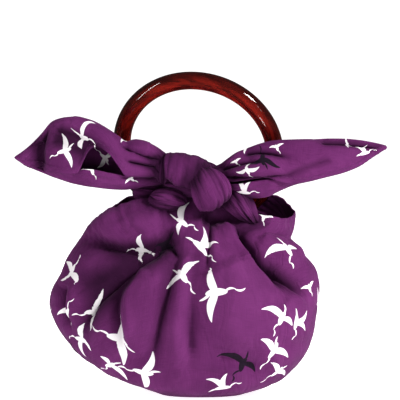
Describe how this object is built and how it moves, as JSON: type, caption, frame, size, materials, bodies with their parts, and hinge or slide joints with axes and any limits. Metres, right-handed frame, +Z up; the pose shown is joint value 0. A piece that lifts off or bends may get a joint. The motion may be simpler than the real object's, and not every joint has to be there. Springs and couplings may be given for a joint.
{
  "type": "furoshiki wrap bag with ring handle",
  "caption": "Square cotton cloth tied into a soft pouch, with a knot and two standing corners in front and a round hoop handle caught under the gathered cloth.",
  "frame": {"origin": "middle of the flat spot under the pouch, on the surface it stands on", "axes": "+Z up, +X to the right of someone facing the knot, the knot side is -Y"},
  "size_m": [0.2759, 0.1296, 0.2423],
  "materials": {
    "cotton": "purple plain-weave cotton printed with white and charcoal flying cranes, matt with a faint sheen",
    "resin": "polished translucent dark amber resin"
  },
  "bodies": {
    "root": {"cloth": "cotton", "ring": "resin"}
  },
  "joints": []
}
